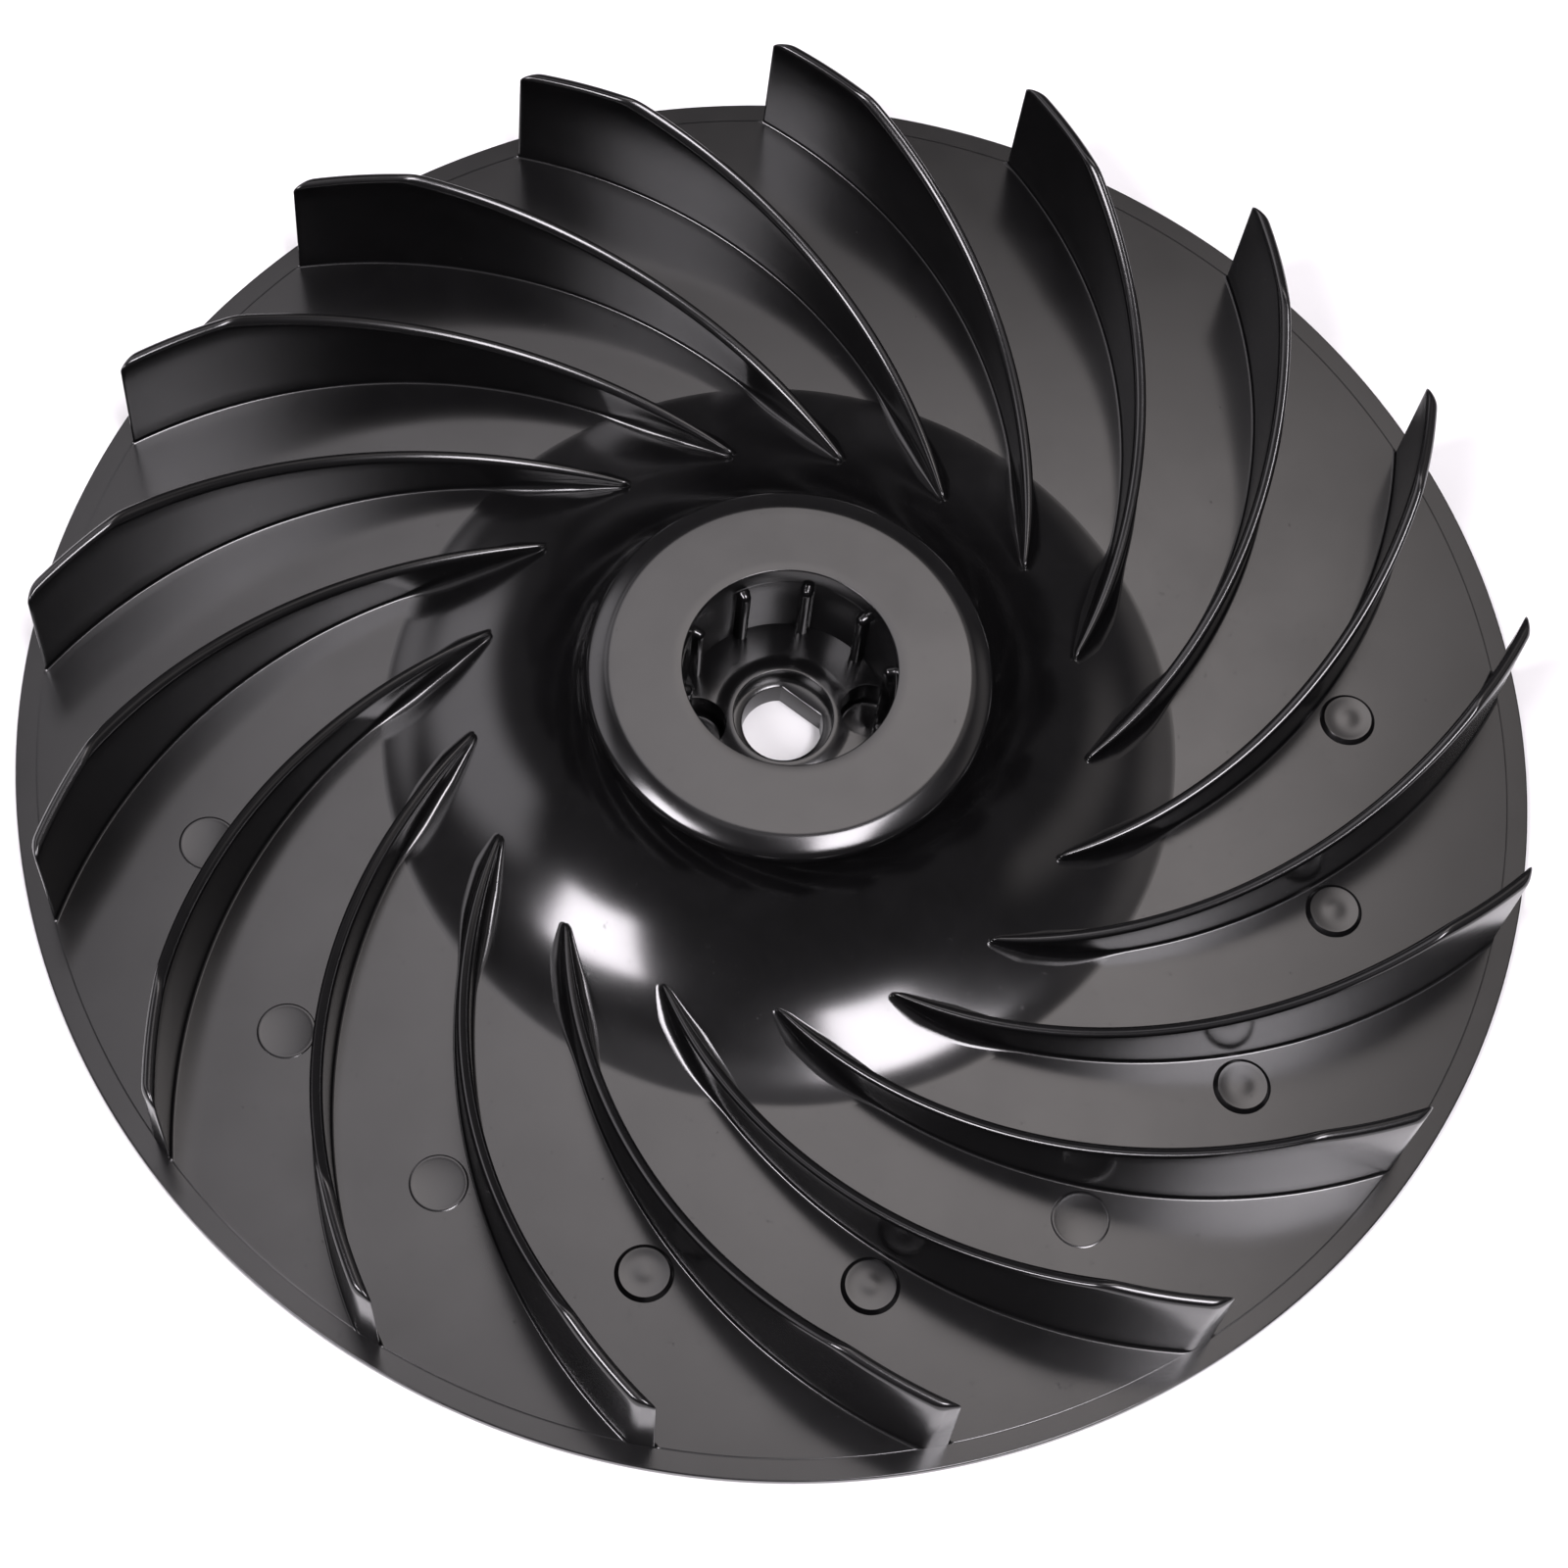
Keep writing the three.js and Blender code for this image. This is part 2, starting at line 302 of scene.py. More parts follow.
def black_plastic(name, roughness, swing, seed, peel=0.0, scratch=0.0):
    """Moulded black plastic. Gloss swings in soft clouds, the colour carries faint flow marks,
    and the surface has a low moulded peel, or else fine rubbing scratches."""
    material = bpy.data.materials.new(name)
    material.use_nodes = True
    tree = material.node_tree
    tree.nodes.clear()
    output = node(tree, "ShaderNodeOutputMaterial")
    shader = node(tree, "ShaderNodeBsdfPrincipled", IOR=1.55)
    tree.links.new(shader.outputs["BSDF"], output.inputs["Surface"])
    where = node(tree, "ShaderNodeTexCoord").outputs["Object"]

    clouds = node(tree, "ShaderNodeTexNoise", noise_dimensions="4D", W=seed, Scale=95.0,
                  Detail=4.0, Roughness=0.55)
    tree.links.new(where, clouds.inputs["Vector"])
    gloss = map_range(tree, clouds.outputs["Fac"], roughness - swing, roughness + swing)

    specks = node(tree, "ShaderNodeTexNoise", noise_dimensions="4D", W=seed + 3.0, Scale=1400.0,
                  Detail=2.0, Roughness=0.6)
    tree.links.new(where, specks.inputs["Vector"])
    dust = map_range(tree, specks.outputs["Fac"], 0.0, 0.10, 0.66, 0.80)
    rough = node(tree, "ShaderNodeMath", operation="ADD")
    tree.links.new(gloss, rough.inputs[0])
    tree.links.new(dust, rough.inputs[1])
    tree.links.new(rough.outputs["Value"], shader.inputs["Roughness"])

    flow = node(tree, "ShaderNodeTexNoise", noise_dimensions="4D", W=seed + 7.0, Scale=160.0,
                Detail=5.0, Roughness=0.6, Distortion=0.8)
    tree.links.new(where, flow.inputs["Vector"])
    tint = node(tree, "ShaderNodeValToRGB")
    tint.color_ramp.elements[0].position = 0.32
    tint.color_ramp.elements[0].color = (*[c * 0.75 for c in BLACK], 1)
    tint.color_ramp.elements[1].position = 0.70
    tint.color_ramp.elements[1].color = (*[c * 1.35 for c in BLACK], 1)
    tree.links.new(flow.outputs["Fac"], tint.inputs["Fac"])
    tree.links.new(tint.outputs["Color"], shader.inputs["Base Color"])

    if peel:
        normal = bump(tree, where, peel, W=seed + 11.0, Scale=170.0, Detail=1.0, Roughness=0.4)
    if scratch:
        stretch = node(tree, "ShaderNodeMapping", Rotation=(0.0, 0.0, 0.6),
                       Scale=(1.0, 14.0, 1.0))
        tree.links.new(where, stretch.inputs["Vector"])
        normal = bump(tree, stretch.outputs["Vector"], scratch, W=seed + 17.0, Scale=240.0,
                      Detail=3.0, Roughness=0.65, Distortion=0.4)
    tree.links.new(normal, shader.inputs["Normal"])
    return material


BLACK = (0.0030, 0.0029, 0.0031)
PEEL = 0.0025 * MM
SCRATCH = 0.0008 * MM
plate_plastic = black_plastic("plate_black", 0.19, 0.02, seed=1.0, peel=PEEL)
bell_plastic = black_plastic("bell_black", 0.15, 0.02, seed=2.0, peel=PEEL)
face_plastic = black_plastic("face_black", 0.17, 0.03, seed=3.0, scratch=SCRATCH)
pocket_plastic = black_plastic("pocket_black", 0.16, 0.03, seed=4.0, peel=PEEL)
floor_plastic = black_plastic("floor_black", 0.20, 0.04, seed=5.0, peel=PEEL)
blade_plastic = black_plastic("blade_black", 0.19, 0.02, seed=6.0, peel=PEEL)


# ---------------------------------------------------------------- pieces

def finish_piece(obj, slot_name, *nodes):
    """The piece rides on the wheel's one body and stands for these CAD nodes."""
    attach(obj, "root")
    if nodes:
        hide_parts(*nodes)


def make_plate():
    """The thin flat disc, with its square rim and the witness step near it."""
    fillet = PLATE_RIM_FILLET
    rim = PLATE_RADIUS - fillet
    low_top = PLATE_TOP - WITNESS_STEP
    profile = [(PLATE_INNER_RADIUS, 0.0)]
    profile += [(r, 0.0) for r in np.linspace(45 * MM, rim - 2 * MM, 4)]
    profile += arc((rim, fillet), (fillet, fillet), -90, 0, 6)
    profile += arc((rim, low_top - fillet), (fillet, fillet), 0, 90, 6)
    step_foot = WITNESS_RADIUS + WITNESS_WIDTH
    profile += [(rim - SUPPORT_GAP, low_top), (step_foot + 2 * SUPPORT_GAP, low_top)]
    profile += arc((step_foot, PLATE_TOP), (WITNESS_WIDTH, WITNESS_STEP), -90, -180, 4)
    profile += [(r, PLATE_TOP) for r in np.linspace(WITNESS_RADIUS - SUPPORT_GAP, 42 * MM, 8)]
    profile.append((PLATE_INNER_RADIUS, PLATE_TOP))
    return mesh_object("plate_moulding", *lathe(profile), plate_plastic)


def disc_on_plate(index, rows):
    """Points and faces of a turned disc in one air channel. Its rows are (radius, rise over the
    plate) from the centre out, and the last one lies inside the plate."""
    columns = PAD_COLUMNS
    turn = FIRST_BLADE_AZIMUTH + (index + PAD_PITCH_SHARE) * 2 * math.pi / BLADE_COUNT
    centre = polar(PAD_CIRCLE_RADIUS, turn)
    points = [(*centre, PLATE_TOP + rows[0][1])]
    for radius, rise in rows[1:]:
        for column in range(columns):
            x, y = polar(radius, 2 * math.pi * column / columns)
            points.append((centre[0] + x, centre[1] + y, PLATE_TOP + rise))
    faces = [(0, 1 + column, 1 + (column + 1) % columns) for column in range(columns)]
    for row in range(len(rows) - 2):
        inner = 1 + row * columns
        outer = inner + columns
        for column in range(columns):
            after = (column + 1) % columns
            faces.append((inner + column, outer + column, outer + after, inner + after))
    last = 1 + (len(rows) - 2) * columns
    faces.append(tuple(last + column for column in reversed(range(columns))))
    return points, faces


def make_pads():
    """The ejector pads. The proud ones are low cones with a dished top that rises again to a
    nub in the middle. Of the faint ones there is only a low ring."""
    sunk = (PAD_RADIUS, -0.3 * MM)
    proud = [(share * PAD_TOP_RADIUS, PAD_HEIGHT - PAD_DISH * depth)
             for share, depth in ((0.0, 0.35), (0.12, 0.4), (0.25, 0.6), (0.38, 0.86), (0.52, 1.0),
                                  (0.7, 0.8), (0.85, 0.4), (0.95, 0.08), (1.0, 0.0))]
    proud += [(PAD_TOP_RADIUS + SUPPORT_GAP, PAD_HEIGHT - 0.03 * MM),
              (PAD_RADIUS - SUPPORT_GAP, 0.05 * MM), (PAD_RADIUS, 0.0), sunk]
    faint = [(share * PAD_RADIUS, PAD_RING_HEIGHT * rise)
             for share, rise in ((0.0, 0.25), (0.8, 0.3), (0.88, 0.8), (0.93, 1.0), (0.97, 0.75))]
    faint += [(PAD_RADIUS, 0.0), sunk]
    points, faces = [], []
    for index in sorted(PROUD_PADS + FAINT_PADS):
        some_points, some_faces = disc_on_plate(index, proud if index in PROUD_PADS else faint)
        faces += [tuple(len(points) + corner for corner in face) for face in some_faces]
        points += some_points
    return mesh_object("ejector_pads", points, faces, plate_plastic, crease=25.0)


def make_bell():
    """The hollow bell. Its foot lies in the plate, so that the two surfaces run on smoothly."""
    outside = bell_outside(PLATE_TOP, FACE_SEAM_HEIGHT, 90)
    inside = [point for point in moved_in(outside, BELL_WALL) if point[1] > 0.25 * MM]
    inside = [(r, min(z, FACE_SEAM_HEIGHT)) for r, z in inside[::3]]
    inside.append((HUB_RADIUS - BELL_WALL, FACE_SEAM_HEIGHT))
    foot = [(PLATE_INNER_RADIUS, 0.0), (PLATE_INNER_RADIUS, PLATE_TOP / 2),
            (BELL_FOOT_RADIUS - 0.1 * MM, PLATE_TOP / 2)]
    profile = foot + outside + inside[::-1] + [(inside[0][0] + 0.2 * MM, 0.0)]
    return mesh_object("bell_moulding", *lathe(profile), bell_plastic)


def curve_down(start, radius, first_slope, last_slope, steps):
    """Points after start on an arc that bends down from one slope, in degrees, to another."""
    bend = arc((0.0, 0.0), (radius, radius), 90 - first_slope, 90 - last_slope, steps)
    return [(start[0] + r - bend[0][0], start[1] + z - bend[0][1]) for r, z in bend[1:]]


def hub_shoulder():
    """The hub face's shoulder, from its flat out and down to the wall."""
    curve = [(FACE_FLAT_RADIUS, HUB_TOP)]
    curve += curve_down(curve[-1], SHOULDER_BREAK_RADIUS, 0, SHOULDER_BREAK_SLOPE, 10)
    curve += curve_down(curve[-1], SHOULDER_CROWN_RADIUS, SHOULDER_BREAK_SLOPE,
                        SHOULDER_CROWN_SLOPE, 8)
    left = HUB_RADIUS - curve[-1][0]
    wall_arc = left / (1 - math.sin(math.radians(SHOULDER_CROWN_SLOPE)))
    curve += curve_down(curve[-1], wall_arc, SHOULDER_CROWN_SLOPE, 90, 12)
    return curve


def make_face():
    """The flat ring on the hub, with its shoulder outside and a small lip at the pocket."""
    outside = bell_outside(FACE_SEAM_HEIGHT, PLATE_TOP + BELL_RISE - 0.02 * MM, 8)
    lip = arc((POCKET_RADIUS + POCKET_LIP_FILLET, HUB_TOP - POCKET_LIP_FILLET),
              (POCKET_LIP_FILLET, POCKET_LIP_FILLET), 90, 180, 6)
    flat = [(r, HUB_TOP) for r in np.linspace(FACE_FLAT_RADIUS, lip[0][0], 8)[1:-1]]
    profile = [(POCKET_RADIUS, FACE_SEAM_HEIGHT)] + outside + hub_shoulder()[::-1] + flat + lip
    return mesh_object("face_moulding", *lathe(profile), face_plastic)


def rib_rise(across, height):
    """How far the pocket's wall stands in at a point this far from a spline's centre line."""
    above = max(height - (SPLINE_TOP - SPLINE_RADIUS), 0.0)
    away = math.hypot(across, above)
    rib = math.sqrt(max(SPLINE_RADIUS ** 2 - away ** 2, 0.0)) + SPLINE_INSET
    rib *= clamp((SPLINE_RADIUS - away) / (0.1 * MM))
    return SPLINE_SOFTNESS * math.log1p(math.exp(rib / SPLINE_SOFTNESS))


def make_sleeve():
    """The pocket's wall, with its domed splines standing in from it."""
    pitch = 2 * math.pi / SPLINE_COUNT
    near = np.linspace(-1, 1, 33) * 1.25 * SPLINE_RADIUS / POCKET_RADIUS
    span = pitch - (near[-1] - near[0])
    turns = [FIRST_SPLINE_AZIMUTH + index * pitch + step
             for index in range(SPLINE_COUNT)
             for step in list(near) + [near[-1] + span * k / 9 for k in range(1, 9)]]
    low = list(np.linspace(0.0, SPLINE_TOP - 1.3 * SPLINE_RADIUS, 6))
    heights = low + list(np.linspace(SPLINE_TOP - 1.2 * SPLINE_RADIUS, SPLINE_TOP, 16))
    heights.append(FACE_SEAM_HEIGHT)
    outer = POCKET_RADIUS + POCKET_WALL
    points = []
    for turn in turns:
        across = (turn - FIRST_SPLINE_AZIMUTH + pitch / 2) % pitch - pitch / 2
        column = [(POCKET_RADIUS - rib_rise(across * POCKET_RADIUS, z), z) for z in heights]
        column += [(outer, FACE_SEAM_HEIGHT), (outer, 0.0)]
        points += [(*polar(r, turn), z) for r, z in column]
    rows = len(heights) + 2
    return mesh_object("pocket_moulding", points, ring_faces(len(turns), rows), pocket_plastic)


def make_floor():
    """The pocket's thick floor. It swells gently to the boss's mouth, and has two blind holes."""
    outer = POCKET_RADIUS + 0.2 * MM
    mouth = BOSS_MOUTH_FILLET
    swell = BOSS_TOP - POCKET_FLOOR_HEIGHT
    brim = BOSS_BORE_RADIUS + 2 * mouth
    profile = [(BOSS_BORE_RADIUS, 0.0), (outer, 0.0), (outer, POCKET_FLOOR_HEIGHT)]
    for share in np.linspace(0, 1, 13):
        rise = swell * (1 - math.cos(math.pi * share)) / 2
        radius = BOSS_FADE_RADIUS + (brim - BOSS_FADE_RADIUS) * share
        profile.append((radius, POCKET_FLOOR_HEIGHT + rise))
    profile += arc((BOSS_BORE_RADIUS + mouth, BOSS_TOP - mouth), (mouth, mouth), 90, 180, 6)
    floor = mesh_object("floor_moulding", *lathe(profile, 160), floor_plastic)
    low, high = CORE_HOLE_BOTTOM, 8 * MM
    foot = CORE_HOLE_FOOT_FILLET
    hole = [(0.02 * MM, low)]
    hole += arc((CORE_HOLE_RADIUS - foot, low + foot), (foot, foot), -90, 0, 6)
    hole += [(CORE_HOLE_RADIUS, high), (0.02 * MM, high)]
    cutters = []
    for index in range(CORE_HOLE_COUNT):
        turn = CORE_HOLE_AZIMUTH + index * 2 * math.pi / CORE_HOLE_COUNT
        cutter = mesh_object("core_cutter", *lathe(hole, 64), floor_plastic)
        cutter.location = (*polar(CORE_HOLE_CENTRE_RADIUS, turn), 0)
        cutters.append(cutter)
    carve(floor, cutters, CORE_HOLE_EDGE)
    return floor


def make_bush():
    """The bush, with its D-shaped bore and a small lead-in at the top."""
    half = math.acos(BORE_FLAT_DISTANCE / BORE_RADIUS)
    round_part = np.linspace(half, 2 * math.pi - half, 90)
    flat_part = np.linspace(-half, half, 24)[1:-1]
    lead = BORE_LEAD_IN
    outer = BOSS_BORE_RADIUS + 0.05 * MM
    points = []
    for step in list(round_part) + list(flat_part):
        bore = min(BORE_RADIUS, BORE_FLAT_DISTANCE / max(math.cos(step), 1e-6))
        column = [(bore, 0.0), (bore, BUSH_TOP - lead),
                  (bore + lead * 0.3, BUSH_TOP - lead * 0.35), (bore + lead, BUSH_TOP),
                  (outer, BUSH_TOP), (outer, 0.0)]
        points += [(*polar(r, BORE_FLAT_AZIMUTH + step), z) for r, z in column]
    rows = len(column)
    return mesh_object("bush_moulding", points, ring_faces(len(points) // rows, rows),
                       floor_plastic)


def blade_top(radius):
    """Height of the blade's top edge: low at the inner tip, highest at the crest."""
    run = radius - BLADE_INNER_RADIUS
    reach = BLADE_CREST_RADIUS - BLADE_INNER_RADIUS
    rise = BLADE_CREST_HEIGHT - BLADE_INNER_HEIGHT
    curvature = (rise - BLADE_INNER_SLOPE * reach) / reach ** 2
    climb = BLADE_INNER_HEIGHT + BLADE_INNER_SLOPE * run + curvature * run ** 2
    slope = (BLADE_CREST_HEIGHT - BLADE_OUTER_HEIGHT) / (BLADE_OUTER_RADIUS - BLADE_CREST_RADIUS)
    fall = BLADE_CREST_HEIGHT - slope * (radius - BLADE_CREST_RADIUS)
    gap = (climb - fall) / BLADE_CREST_SOFTNESS
    return fall - BLADE_CREST_SOFTNESS * math.log1p(math.exp(-gap))


def quarter_drop(distance, radius):
    """How far a rounded corner has dropped at this distance from its end."""
    if distance >= radius:
        return 0.0
    return radius - math.sqrt(max(radius ** 2 - (radius - distance) ** 2, 0.0))


def blade_arc_turn(arc_radius, radius):
    """Angle round the blade arc's centre at which an arc about it reaches a wheel radius."""
    sides = arc_radius ** 2 + BLADE_ARC_CENTRE_RADIUS ** 2
    share = (radius ** 2 - sides) / (2 * arc_radius * BLADE_ARC_CENTRE_RADIUS)
    return -math.acos(min(max(share, -1.0), 1.0))


def blade_section(radius):
    """Closed (offset, height) section of the blade where it crosses this wheel radius."""
    from_tip = radius - BLADE_INNER_RADIUS
    from_end = BLADE_OUTER_RADIUS - radius
    ground = bell_height(radius)
    taper = min(from_tip / BLADE_TIP_TAPER, 1.0)
    width = BLADE_TIP_WIDTH + (1 - BLADE_TIP_WIDTH) * taper * (2 - taper)
    tip_drop = quarter_drop(from_tip, BLADE_TIP_FILLET)
    inset = quarter_drop(from_end, BLADE_END_FILLET) + tip_drop * 0.5
    top = blade_top(radius) - quarter_drop(from_end, BLADE_CORNER_FILLET) - tip_drop
    foot_half = max(BLADE_FOOT_THICKNESS / 2 * width - inset, 1.2 * BLADE_LEAST_HALF)
    top_half = max(BLADE_TOP_THICKNESS / 2 * width - inset, BLADE_LEAST_HALF)
    rise = max(top - ground, BLADE_LEAST_HALF)
    edge = min(BLADE_EDGE_FILLET, top_half * 0.94, rise * 0.45)
    blend_start = BELL_FOOT_RADIUS + BLADE_ROOT_BLEND_START
    share = clamp((blend_start - radius) / BLADE_ROOT_BLEND_LENGTH)
    on_bell = share * share * (3 - 2 * share)
    root = BLADE_ROOT_FILLET + (BLADE_BELL_FILLET - BLADE_ROOT_FILLET) * on_bell
    fillet = min(root, rise * 0.5)

    side = [(foot_half + fillet + 0.02 * MM, ground - BLADE_SUNK), (foot_half + fillet, ground)]
    for turn in np.radians(np.linspace(0, 90, 8))[1:]:
        side.append((foot_half + fillet * (1 - math.sin(turn)),
                     ground + fillet * (1 - math.cos(turn))))
    lean = (foot_half - top_half) / rise
    for share in np.linspace(0, 1, 7)[1:-1]:
        height = ground + fillet + (rise - fillet - edge) * share
        side.append((foot_half - lean * (height - ground), height))
    for turn in np.radians(np.linspace(0, 90, 9)):
        side.append((top_half - edge * (1 - math.cos(turn)),
                     top - edge * (1 - math.sin(turn))))
    other = [(-offset, height) for offset, height in reversed(side)]
    return side + other


def make_blade(index):
    """One blade, swept along its arc through stations that are circles about the axle. The
    stations crowd together where the two ends are rounded."""
    turned = FIRST_BLADE_AZIMUTH + index * 2 * math.pi / BLADE_COUNT + BLADE_ARC_CENTRE_LEAD
    centre = polar(BLADE_ARC_CENTRE_RADIUS, turned)
    near_tip = (0.0, 0.04, 0.12, 0.22, 0.34, 0.5)
    near_end = (0.8, 0.68, 0.54, 0.42, 0.3, 0.2, 0.12, 0.06, 0.02, 0.0)
    inner = [BLADE_INNER_RADIUS + step * MM for step in near_tip]
    outer = [BLADE_OUTER_RADIUS - step * MM for step in near_end]
    stations = inner + list(np.linspace(inner[-1], outer[0], 110))[1:-1] + outer
    points = []
    for radius in stations:
        for offset, height in blade_section(radius):
            arc_radius = BLADE_ARC_RADIUS - offset
            x, y = polar(arc_radius, turned + blade_arc_turn(arc_radius, radius))
            points.append((centre[0] + x, centre[1] + y, height))
    rows = len(points) // len(stations)
    faces = []
    for station in range(len(stations) - 1):
        here, ahead = station * rows, (station + 1) * rows
        for row in range(rows):
            after = (row + 1) % rows
            faces.append((here + row, ahead + row, ahead + after, here + after))
    faces.append(tuple(range(rows)))
    last = (len(stations) - 1) * rows
    faces.append(tuple(last + row for row in reversed(range(rows))))
    name = f"blade_moulding_{index + 1:02d}"
    return mesh_object(name, points, faces, blade_plastic)


finish_piece(make_plate(), "plate_plastic", "back_plate")
finish_piece(make_pads(), "plate_plastic")
finish_piece(make_bell(), "bell_plastic", "hub_bell")
finish_piece(make_face(), "face_plastic", "hub_face")
finish_piece(make_sleeve(), "pocket_plastic", "pocket_sleeve")
finish_piece(make_floor(), "floor_plastic", "pocket_floor")
finish_piece(make_bush(), "floor_plastic", "shaft_bush")
for blade_index in range(BLADE_COUNT):
    finish_piece(make_blade(blade_index), "blade_plastic", f"blade_{blade_index + 1:02d}")


# ---------------------------------------------------------------- stage, lights and camera

FLOOR_ALBEDO = 0.8
FLOOR_HALF_WIDTH = 3.0
COOL = (1.0, 0.955, 1.01)
WARM = (1.04, 0.965, 0.95)
SOFTBOX_DISTANCE = 6.0
SOFTBOX_RADIANCE = 25.0
STUDIO_GLOW = 0.12  # radiance of the studio's dark between its reflectors

# Camera: angles in radians, distance in metres, lens in millimetres.
CAMERA_ELEVATION = 1.1275
CAMERA_DISTANCE = 0.3497
CAMERA_ROLL = -0.1461
CAMERA_TILT = 0.0132
CAMERA_PAN = 0.003
CAMERA_LENS = 80.57

# Soft reflectors in the studio's dark: azimuth, elevation, width, height and softness of the
# edges, all in degrees, then the radiance at the left and right ends and the colours there.
# Left and right are as seen from outside, looking at the wheel.
REFLECTORS = (
    (92, 67.5, 20.4, 18.4, 5, 4.1, 2.35, (WARM, COOL)),
    (160, 37, 46, 22, 10, 2.0, 2.0, (COOL, COOL)),
    (131, 54.5, 16, 12, 7, 1.7, 1.7, (COOL, COOL)),
    (55, 57, 22, 18, 14, 0.7, 0.7, (WARM, WARM)),
    (22, 35, 40, 12, 10, 0.5, 0.5, (WARM, WARM)),
    (90, 88, 24, 24, 10, 0.5, 0.5, (COOL, COOL)),
)


def make_stage():
    """A plain pale floor under the wheel."""
    material = bpy.data.materials.new("floor_paper")
    material.use_nodes = True
    tree = material.node_tree
    shader = tree.nodes["Principled BSDF"]
    shader.inputs["Roughness"].default_value = 0.9
    shader.inputs["Specular IOR Level"].default_value = 0.1
    where = node(tree, "ShaderNodeTexCoord").outputs["Object"]
    grain = node(tree, "ShaderNodeTexNoise", Scale=30.0, Detail=3.0)
    tree.links.new(where, grain.inputs["Vector"])
    shade = node(tree, "ShaderNodeValToRGB")
    shade.color_ramp.elements[0].color = (FLOOR_ALBEDO - 0.02,) * 3 + (1,)
    shade.color_ramp.elements[1].color = (FLOOR_ALBEDO + 0.02,) * 3 + (1,)
    tree.links.new(grain.outputs["Fac"], shade.inputs["Fac"])
    tree.links.new(shade.outputs["Color"], shader.inputs["Base Color"])
    half = FLOOR_HALF_WIDTH
    corners = [(-half, -half, 0), (half, -half, 0), (half, half, 0), (-half, half, 0)]
    floor = mesh_object("floor", corners, [(0, 1, 2, 3)], material)
    floor.location.z = -0.05 * MM


def facing(azimuth, elevation, spin=0.0):
    """Right, up and outward directions at this place in the sky. Angles are in degrees, and
    spin turns the first two about the third."""
    a, e = math.radians(azimuth), math.radians(elevation)
    out = Vector((math.cos(e) * math.cos(a), math.cos(e) * math.sin(a), math.sin(e)))
    right = Vector((-math.sin(a), math.cos(a), 0.0))
    up = out.cross(right)
    turn = Matrix.Rotation(math.radians(spin), 3, out)
    return turn @ right, turn @ up, out


def softbox(name, azimuth, elevation, width, height, spin=0.0):
    """A square-edged area light that faces the wheel. Width and height are the angles, in
    degrees, that it covers as the wheel sees it."""
    light = bpy.data.lights.new(name, "AREA")
    light.shape = "RECTANGLE"
    light.size = 2 * SOFTBOX_DISTANCE * math.tan(math.radians(width) / 2)
    light.size_y = 2 * SOFTBOX_DISTANCE * math.tan(math.radians(height) / 2)
    light.energy = SOFTBOX_RADIANCE * math.pi * light.size * light.size_y
    light.color = COOL
    axes = Matrix(facing(azimuth, elevation, spin)).transposed()
    obj = bpy.data.objects.new(name, light)
    obj.matrix_world = Matrix.Translation(axes.col[2] * SOFTBOX_DISTANCE) @ axes.to_4x4()
    bpy.context.scene.collection.objects.link(obj)


def math_node(tree, operation, first, second):
    """A maths node on two sockets, or on a socket and a number."""
    made = node(tree, "ShaderNodeMath", operation=operation)
    for index, value in enumerate((first, second)):
        if isinstance(value, (int, float)):
            made.inputs[index].default_value = value
        else:
            tree.links.new(value, made.inputs[index])
    return made.outputs["Value"]


def soft_panel(tree, sky, azimuth, elevation, width, height, softness, left, right, colours):
    """A reflector with soft edges, as a shader for the world. Its angles are in degrees. Its
    radiance and colour run from left to right across its width."""
    along = []
    for axis in facing(azimuth, elevation):
        dot = node(tree, "ShaderNodeVectorMath", operation="DOT_PRODUCT")
        tree.links.new(sky, dot.inputs[0])
        dot.inputs[1].default_value = axis
        along.append(dot.outputs["Value"])
    forward = math_node(tree, "MAXIMUM", along[2], 0.001)
    mask = math_node(tree, "GREATER_THAN", along[2], 0.0)
    across = math_node(tree, "DIVIDE", along[0], forward)
    upward = math_node(tree, "DIVIDE", along[1], forward)
    for offset, size in ((across, width), (upward, height)):
        away = math_node(tree, "ABSOLUTE", offset, 0.0)
        inner = math.tan(math.radians(max(size / 2 - softness / 2, 0.0)))
        outer = math.tan(math.radians(size / 2 + softness / 2))
        edge = node(tree, "ShaderNodeMapRange", interpolation_type="SMOOTHSTEP", From_Min=inner,
                    From_Max=outer, To_Min=1.0, To_Max=0.0)
        tree.links.new(away, edge.inputs["Value"])
        mask = math_node(tree, "MULTIPLY", mask, edge.outputs["Result"])
    half = math.tan(math.radians(width / 2))
    share = node(tree, "ShaderNodeMapRange", From_Min=-half, From_Max=half)
    tree.links.new(across, share.inputs["Value"])
    mix = node(tree, "ShaderNodeMixShader")
    tree.links.new(share.outputs["Result"], mix.inputs[0])
    for index, (radiance, colour) in enumerate(zip((left, right), colours)):
        side = node(tree, "ShaderNodeBackground", Color=(*colour, 1))
        tree.links.new(math_node(tree, "MULTIPLY", mask, radiance), side.inputs["Strength"])
        tree.links.new(side.outputs["Background"], mix.inputs[index + 1])
    return mix.outputs["Shader"]


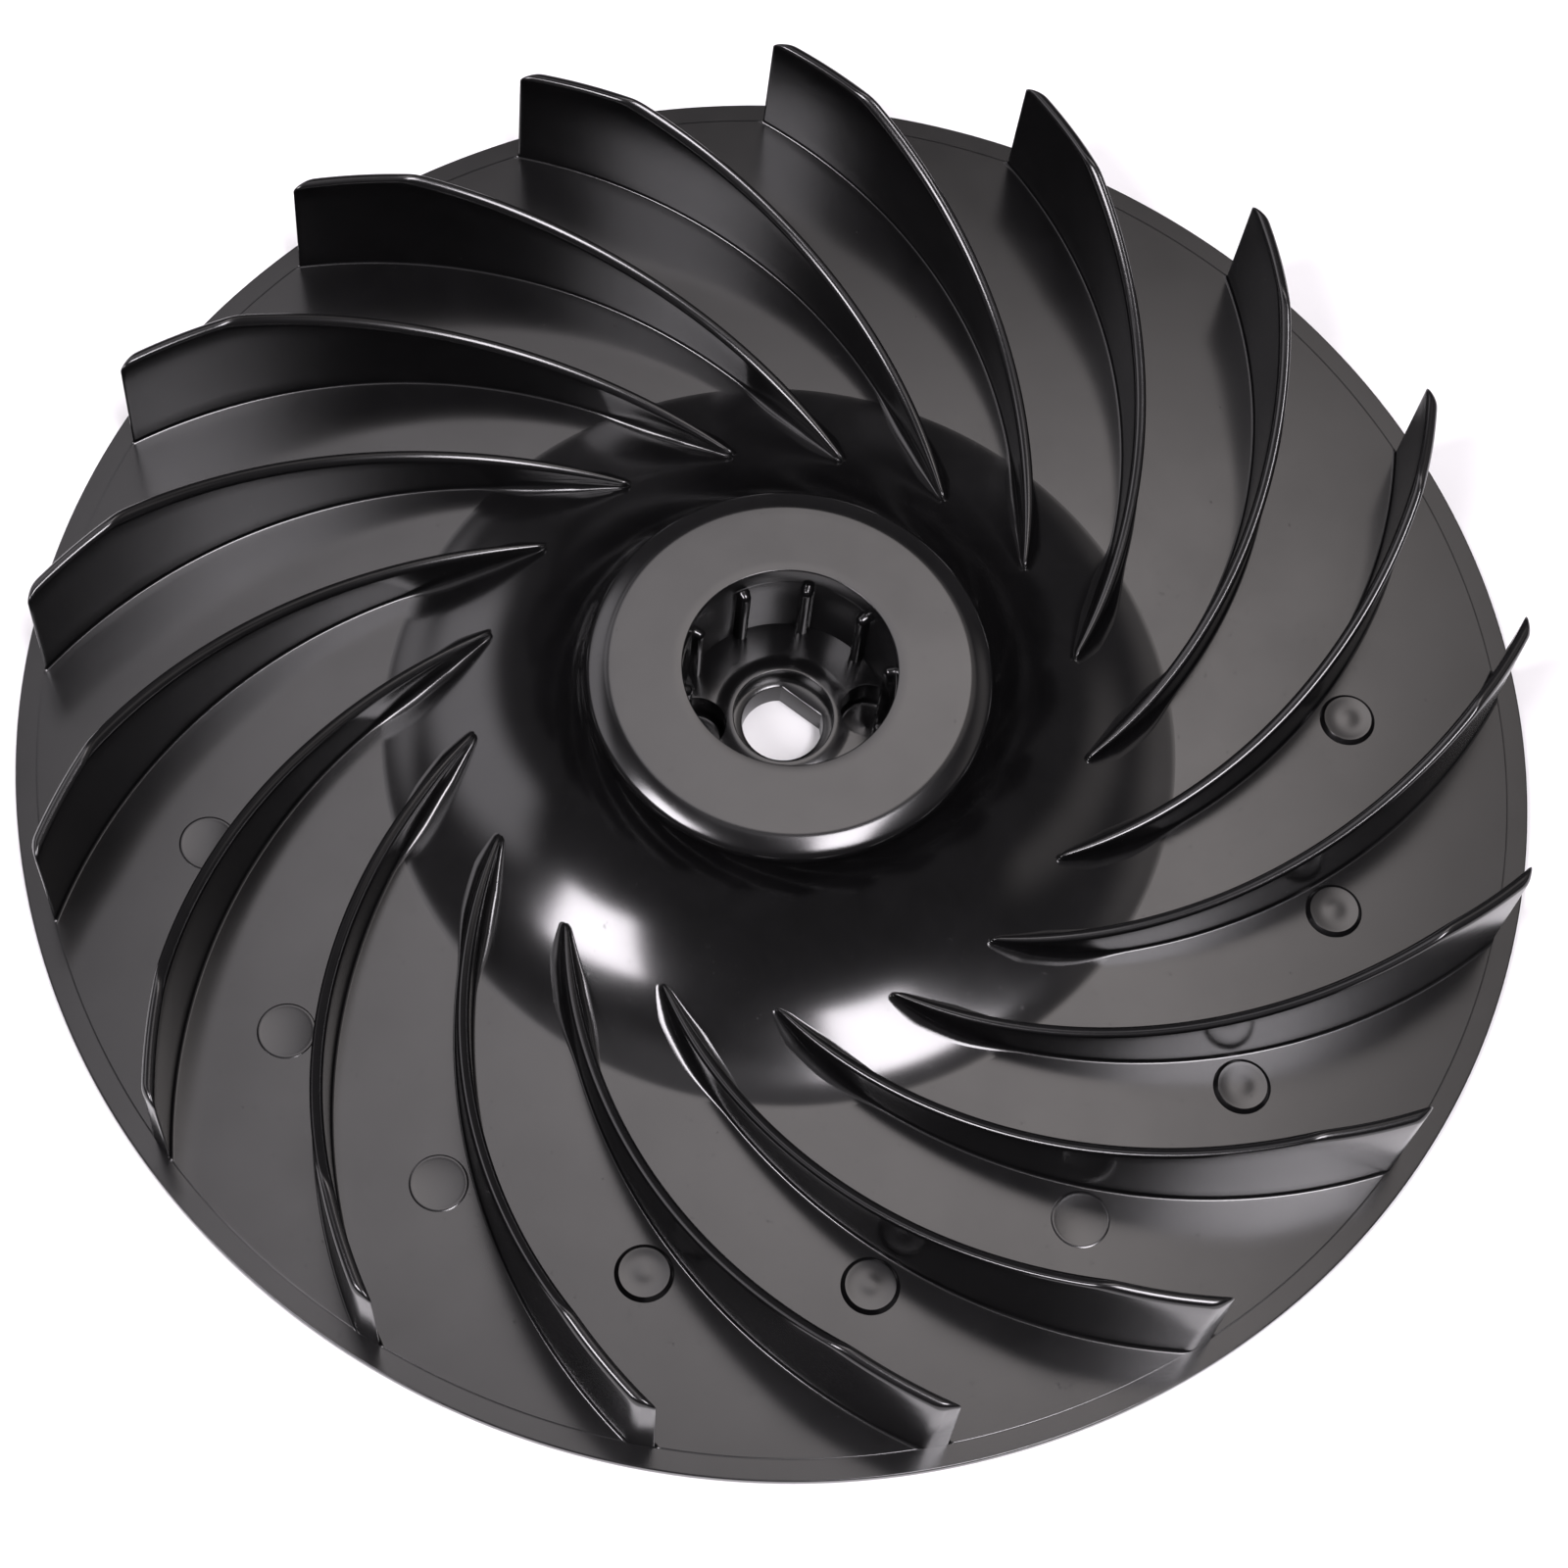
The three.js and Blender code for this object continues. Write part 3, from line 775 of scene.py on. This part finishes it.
def make_world():
    """Pale to the camera. To everything else it is a dark studio with a few soft reflectors, so
    that the black plastic stays black between them."""
    world = bpy.data.worlds.new("studio")
    bpy.context.scene.world = world
    world.use_nodes = True
    tree = world.node_tree
    tree.nodes.clear()
    sky = node(tree, "ShaderNodeTexCoord").outputs["Generated"]
    total = node(tree, "ShaderNodeBackground", Color=(*COOL, 1), Strength=STUDIO_GLOW)
    total = total.outputs["Background"]
    for panel in REFLECTORS:
        adding = node(tree, "ShaderNodeAddShader")
        tree.links.new(total, adding.inputs[0])
        tree.links.new(soft_panel(tree, sky, *panel), adding.inputs[1])
        total = adding.outputs["Shader"]
    pale = node(tree, "ShaderNodeBackground", Color=(1, 1, 1, 1), Strength=1.0)
    path = node(tree, "ShaderNodeLightPath")
    mix = node(tree, "ShaderNodeMixShader")
    tree.links.new(path.outputs["Is Camera Ray"], mix.inputs[0])
    tree.links.new(total, mix.inputs[1])
    tree.links.new(pale.outputs["Background"], mix.inputs[2])
    output = node(tree, "ShaderNodeOutputWorld")
    tree.links.new(mix.outputs["Shader"], output.inputs["Surface"])


def make_camera():
    """Looks down on the wheel from the front, with a small roll."""
    back = Vector((0, -math.cos(CAMERA_ELEVATION), math.sin(CAMERA_ELEVATION)))
    right = Vector((1, 0, 0))
    up = back.cross(right)
    axes = Matrix((right, up, back))
    roll = Matrix.Rotation(CAMERA_ROLL, 3, "Z")
    tilt = Matrix.Rotation(CAMERA_TILT, 3, "X")
    pan = Matrix.Rotation(CAMERA_PAN, 3, "Y")
    turned = (roll @ tilt @ pan @ axes).transposed()
    data = bpy.data.cameras.new("camera")
    data.sensor_width = 36.0
    data.lens = CAMERA_LENS
    data.clip_start = 0.01
    camera = bpy.data.objects.new("camera", data)
    camera.matrix_world = Matrix.Translation(back * CAMERA_DISTANCE) @ turned.to_4x4()
    bpy.context.scene.collection.objects.link(camera)
    bpy.context.scene.camera = camera


make_stage()
make_world()
make_camera()
softbox("left_softbox", -141, 50.5, 18, 18)
softbox("right_softbox", -35, 68.5, 26, 14, spin=51)
bpy.context.scene.view_settings.view_transform = "Standard"
bpy.context.scene.view_settings.look = "None"
